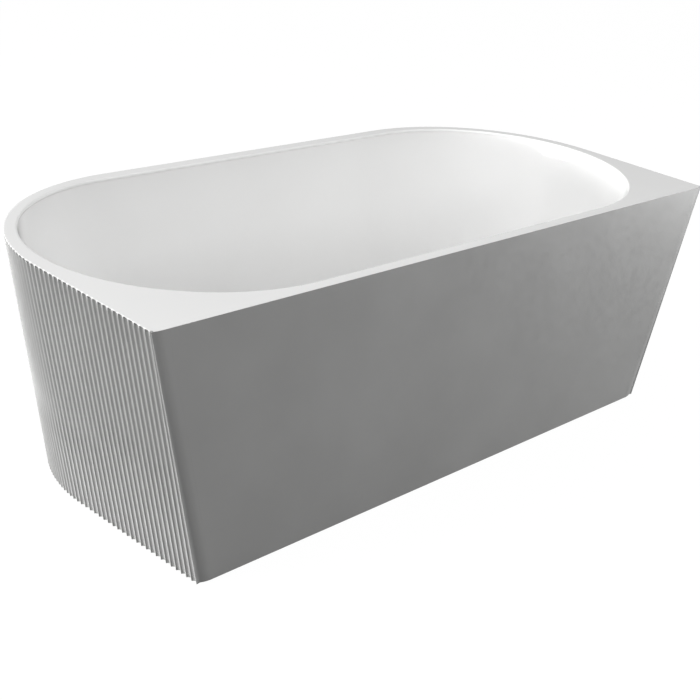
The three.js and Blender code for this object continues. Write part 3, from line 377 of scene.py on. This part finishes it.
# The soft round-off at the end of the flat back, then a shallow cut up to the first crest; with the inner
# face and the inward directions, point for point.
def back_cut(plan):
    half = plan["half"]
    round_end = half - plan["cut_run"]
    share = np.linspace(0, 1, CUT_STEPS, endpoint=False)
    round_x = half - plan["round_run"] + share * (plan["round_run"] - plan["cut_run"])
    round_y = BACK + plan["round_drop"] * share ** 2
    hollow = plan["cut_hollow"] * (1 - (2 * share - 1) ** 2)
    cut_x = round_end + share * plan["cut_run"]
    cut_y = BACK + plan["round_drop"] + share * (plan["cut_drop"] - plan["round_drop"]) + hollow
    outer = np.stack([np.concatenate([round_x, cut_x]), np.concatenate([round_y, cut_y])], 1)
    inner_start = half - SKIRT_RETURN + RETURN_MARGIN
    inner_x = np.linspace(inner_start, half - plan["inner"], 2 * CUT_STEPS, endpoint=False)
    inner = np.stack([inner_x, np.full(2 * CUT_STEPS, BACK + SKIRT_WALL)], 1)
    return outer, inner, np.repeat([[0.0, 1.0]], 2 * CUT_STEPS, axis=0)


# Outer face, inner face and inward directions of the skirt in plan, point for point.
def skirt_lines(plan):
    path, length = crest_path(plan)
    marks = stations(plan, length[-1])
    along, depth, arch = [], [], []
    for first, second in zip(marks, marks[1:]):
        steps, inward, rise = flute_profile(second - first, plan["depth"])
        along.append(first + steps)
        depth.append(inward)
        arch.append(rise)
    along = np.concatenate(along + [[length[-1]]])
    depth = np.concatenate(depth + [[0]])
    arch = np.concatenate(arch + [arch[0][:1]])
    tangent = np.gradient(path, length, axis=0)
    place = np.stack([np.interp(along, length, path[:, i]) for i in range(2)], 1)
    direction = np.stack([np.interp(along, length, tangent[:, i]) for i in range(2)], 1)
    direction /= np.linalg.norm(direction, axis=1)[:, None]
    inwards = np.stack([-direction[:, 1], direction[:, 0]], 1)
    outer = place + inwards * depth[:, None]
    inner = place + inwards * plan["inner"]
    inner[:, 1] = np.maximum(inner[:, 1], BACK + SKIRT_WALL)
    cut_outer, cut_inner, cut_inwards = back_cut(plan)
    cut_arch = np.linspace(-1, 1, len(cut_outer)).clip(0, 1) * arch[0]
    flip = np.array([-1, 1])
    return {
        "outer": np.concatenate([cut_outer, outer, (cut_outer * flip)[::-1]]),
        "crest": np.concatenate([cut_outer, place, (cut_outer * flip)[::-1]]),
        "inner": np.concatenate([cut_inner, inner, (cut_inner * flip)[::-1]]),
        "inwards": np.concatenate([cut_inwards, inwards, (cut_inwards * flip)[::-1]]),
        "arch": np.concatenate([cut_arch, arch, cut_arch[::-1]]),
    }


BASE_LINES = skirt_lines(BASE_PLAN)
DECK_LINES = skirt_lines(DECK_PLAN)


# Height of the joint line between white deck and grey skirt: a low arch over each flute.
ARCH_LINE = DECK_LIP - JOINT_DROP * DECK_LINES["arch"]


def line_at(key, z, inset=0.0):
    share = np.broadcast_to(np.asarray(z, float) / HEIGHT, len(BASE_LINES[key]))[:, None]
    place = BASE_LINES[key] * (1 - share) + DECK_LINES[key] * share
    place = place + inset * DECK_LINES["inwards"]
    return np.column_stack([place, share[:, 0] * HEIGHT])


# The fluted face at a distance below the joint line: each hollow ends in a round cap, like a ball-nosed cut.
def fluted_face(z, below):
    reach = ((below - CAP_DROP * DECK_LINES["arch"]) / CAP_RUN).clip(0, 1)
    hollow = np.sqrt(1 - (1 - reach) ** 2)[:, None]
    return line_at("crest", z) * (1 - hollow) + line_at("outer", z) * hollow


def half_length_at(z):
    share = z / HEIGHT
    return BASE_PLAN["half"] * (1 - share) + DECK_PLAN["half"] * share


# A closed outline of the skirt: its outer face, then its inner face at its own height.
def skirt_outline(face, end_z, inner_z):
    outer_end = half_length_at(end_z) - SKIRT_RETURN
    inner_end = half_length_at(inner_z) - SKIRT_RETURN
    return np.concatenate([
        [[outer_end, BACK, end_z]], face, [[-outer_end, BACK, end_z]],
        [[-inner_end, BACK + SKIRT_WALL, inner_z]], line_at("inner", inner_z)[::-1],
        [[inner_end, BACK + SKIRT_WALL, inner_z]],
    ])


def skirt_moulding():
    bm = bmesh.new()
    inner_top = DECK_UNDER - MITRE_GAP
    rings = []
    for share in np.linspace(0, 1, SKIRT_RINGS)[:-1]:
        z = FLOOR_GAP + share * (ARCH_LINE - CAP_STEPS[0] - FLOOR_GAP)
        inner_z = FLOOR_GAP + share * (inner_top - CAP_STEPS[0] - FLOOR_GAP)
        rings.append(skirt_outline(fluted_face(z, ARCH_LINE - z), z[0], inner_z))
    for below in CAP_STEPS:
        z = ARCH_LINE - MITRE_GAP - below
        rings.append(skirt_outline(fluted_face(z, below), z[0], inner_top - below))
    rings = [add_ring(bm, ring) for ring in rings]
    for lower, upper in zip(rings, rings[1:]):
        add_band(bm, lower, upper)
    count = len(BASE_LINES["outer"]) + 2
    for ring in (rings[0], rings[-1]):
        outer, inner = ring[:count], ring[count:][::-1]
        for i in range(count - 1):
            bm.faces.new((outer[i], outer[i + 1], inner[i + 1], inner[i]))
    return piece("skirt_moulding", bm, "skirt", ["outer_skirt"], sharp=38)


def basin_ring(half_length, half_width, z):
    reach = half_width * END_REACH
    angle = np.linspace(-math.pi / 2, math.pi / 2, BASIN_POINTS // 2)
    x = half_length - reach + reach * np.cos(angle)
    y = half_width * np.sin(angle)
    x = np.concatenate([x, -x])
    y = OPEN_CENTRE + np.concatenate([y, -y])
    return np.column_stack([x, y, np.full(len(x), z)])


def grown_ring(grow, z):
    return basin_ring(OPEN_HALF_LENGTH + grow, OPEN_HALF_WIDTH + grow, z)


def basin_rings(grow, top, depth, count):
    rings = []
    for i in range(count + 1):
        share = min(math.sin(i / count * math.pi / 2) ** (2 / SQUARENESS), 1)
        rounded = 1 - (1 - share ** SQUARENESS) ** (1 / SQUARENESS)
        inset = LEAN * share + (1 - LEAN) * rounded
        half_length = OPEN_HALF_LENGTH + grow - END_INSET * inset
        half_width = OPEN_HALF_WIDTH + grow - SIDE_INSET * inset
        rings.append(basin_ring(half_length, half_width, top - depth * share))
    return rings


def round_ring(radius, z):
    angle = np.linspace(0, 2 * math.pi, BASIN_POINTS, endpoint=False) - math.pi / 2
    x = radius * np.cos(angle)
    return np.column_stack([x, WASTE_Y + radius * np.sin(angle), np.full(len(x), z)])


def shell_moulding():
    bm = bmesh.new()
    edge_middle = ARCH_LINE + EDGE_MIDDLE_RISE * (HEIGHT - ARCH_LINE)
    edge = add_bands(bm, [
        line_at("inner", DECK_UNDER), line_at("crest", ARCH_LINE),
        line_at("crest", edge_middle, EDGE_MIDDLE_RUN * EDGE_SLOPE),
        line_at("crest", HEIGHT, EDGE_SLOPE), line_at("crest", HEIGHT, EDGE_SLOPE + FLAT_MARGIN),
    ])
    crown = ROLL - RIM_LIP
    roll = [grown_ring(crown + FLAT_MARGIN, HEIGHT), grown_ring(crown + RIM_FLAT, HEIGHT)]
    for i in range(ROLL_STEPS + 1):
        angle = i / ROLL_STEPS * math.pi / 2
        roll.append(grown_ring(crown - ROLL * math.sin(angle), HEIGHT - ROLL * (1 - math.cos(angle))))
    for share in LIP_SHARES:
        eased = share * share * (3 - 2 * share)
        roll.append(grown_ring(-RIM_LIP * (1 - eased), HEIGHT - ROLL - share * RIM_LIP_DEPTH))
    wall_top = HEIGHT - ROLL - RIM_LIP_DEPTH
    wall = basin_rings(0, wall_top, wall_top - BASIN_FLOOR, BASIN_RINGS)
    seat = BASIN_FLOOR - WASTE_RECESS
    under_floor = BASIN_FLOOR - SHELL_WALL
    floor = [
        round_ring(RECESS_RADIUS + RECESS_ROUND, BASIN_FLOOR),
        round_ring(RECESS_RADIUS + RECESS_ROUND_MIDDLE, BASIN_FLOOR - RECESS_ROUND_MIDDLE),
        round_ring(RECESS_RADIUS, BASIN_FLOOR - RECESS_ROUND), round_ring(RECESS_RADIUS, seat),
        round_ring(WASTE_HOLE, seat), round_ring(WASTE_HOLE, under_floor),
    ]
    under = basin_rings(SHELL_WALL, DECK_UNDER, DECK_UNDER - under_floor, UNDERSIDE_RINGS)[::-1]
    inside = add_bands(bm, roll + wall + floor + under)
    fill_between(bm, edge[-1], inside[0])
    fill_between(bm, edge[0], inside[-1])
    return piece("shell_moulding", bm, "acrylic", ["inner_shell"], sharp=40)


def panel_sheet():
    bm = bmesh.new()
    corners = []
    for back_z, front_z in ((FLOOR_GAP, FLOOR_GAP), (DECK_LIP - MITRE_GAP, DECK_UNDER - MITRE_GAP)):
        for side, y, z in ((-1, BACK, back_z), (1, BACK, back_z), (1, BACK + SKIRT_WALL, front_z),
                           (-1, BACK + SKIRT_WALL, front_z)):
            half = half_length_at(z) - SKIRT_RETURN - JOINT_GAP
            corners.append(bm.verts.new((side * half, y, z)))
    for face in ((0, 1, 5, 4), (1, 2, 6, 5), (2, 3, 7, 6), (3, 0, 4, 7), (3, 2, 1, 0), (4, 5, 6, 7)):
        bm.faces.new([corners[i] for i in face])
    bmesh.ops.bevel(bm, geom=bm.edges[:], offset=PANEL_EASE, segments=1, affect="EDGES", profile=0.5)
    return piece("panel_sheet", bm, "skirt", ["back_panel"], sharp=1)


skirt_moulding()
shell_moulding()
panel_sheet()

for entry in frame["record"]["subparts"]:
    node = frame["nodes"][entry["node"]]
    node.data.materials.clear()
    node.data.materials.append(MATERIALS[entry["material_slot"]])


# Pale floor and white surroundings
def make_stage():
    mesh = bpy.data.meshes.new("floor")
    corners = [(x * FLOOR_HALF, y * FLOOR_HALF, 0) for x, y in ((-1, -1), (1, -1), (1, 1), (-1, 1))]
    mesh.from_pydata(corners, [], [(0, 1, 2, 3)])
    floor = bpy.data.objects.new("floor", mesh)
    floor.location.z = -FLOOR_DROP
    bpy.context.scene.collection.objects.link(floor)
    made = Nodes("pale_floor")
    made.set("Roughness", 0.9)
    made.set("Base Color", (FLOOR_GREY, FLOOR_GREY, FLOOR_GREY, 1))
    path = made.add("ShaderNodeLightPath")
    glow = made.add("ShaderNodeEmission")
    glow.inputs["Strength"].default_value = FLOOR_GLOW
    mix = made.add("ShaderNodeMixShader")
    seen = made.add("ShaderNodeMath", operation="MULTIPLY")
    seen.inputs[1].default_value = FLOOR_GLOW_SHARE
    made.link(path.outputs["Is Camera Ray"], seen.inputs[0])
    made.link(seen.outputs[0], mix.inputs["Fac"])
    made.link(made.shader.outputs["BSDF"], mix.inputs[1])
    made.link(glow.outputs["Emission"], mix.inputs[2])
    made.link(mix.outputs["Shader"], made.tree.nodes["Material Output"].inputs["Surface"])
    mesh.materials.append(made.material)


def make_world(ambient):
    world = bpy.data.worlds.new("surroundings")
    world.use_nodes = True
    tree = world.node_tree
    background = tree.nodes["Background"]
    background.inputs["Color"].default_value = (1, 1, 1, 1)
    path = tree.nodes.new("ShaderNodeLightPath")
    spread = tree.nodes.new("ShaderNodeMapRange")
    spread.inputs["To Min"].default_value = ambient
    spread.inputs["To Max"].default_value = 1.0
    tree.links.new(path.outputs["Is Camera Ray"], spread.inputs["Value"])
    tree.links.new(spread.outputs["Result"], background.inputs["Strength"])
    bpy.context.scene.world = world


def softbox(name, place, target, size, energy, mirrored=True):
    data = bpy.data.lights.new(name, "AREA")
    data.shape = "RECTANGLE"
    data.size, data.size_y = size
    data.energy = energy
    lamp = bpy.data.objects.new(name, data)
    lamp.location = place
    lamp.rotation_euler = (Vector(target) - Vector(place)).to_track_quat("-Z", "Y").to_euler()
    lamp.visible_glossy = mirrored
    bpy.context.scene.collection.objects.link(lamp)


make_stage()
make_world(AMBIENT)
softbox("overhead", (0.1, -0.1, 4.2), (0, 0, 0.3), (4.5, 3.0), 31)
softbox("left_low", (-4.1, 1.85, 0.42), (-0.7, 0, 0.3), (3.2, 0.7), 620)
softbox("left_high", (-4.2, 0.9, 2.0), (0.5, 0, 0.4), (2.6, 1.4), 90, mirrored=False)
softbox("front_fill", (0.3, -4.2, 2.3), (0, 0.3, 0.4), (3.5, 1.5), 50, mirrored=False)
softbox("right_low", (4.4, -2.1, 0.28), (0.0, -0.375, 0.28), (1.2, 0.5), 170)

bpy.context.scene.view_settings.view_transform = "Standard"
bpy.context.view_layer.update()
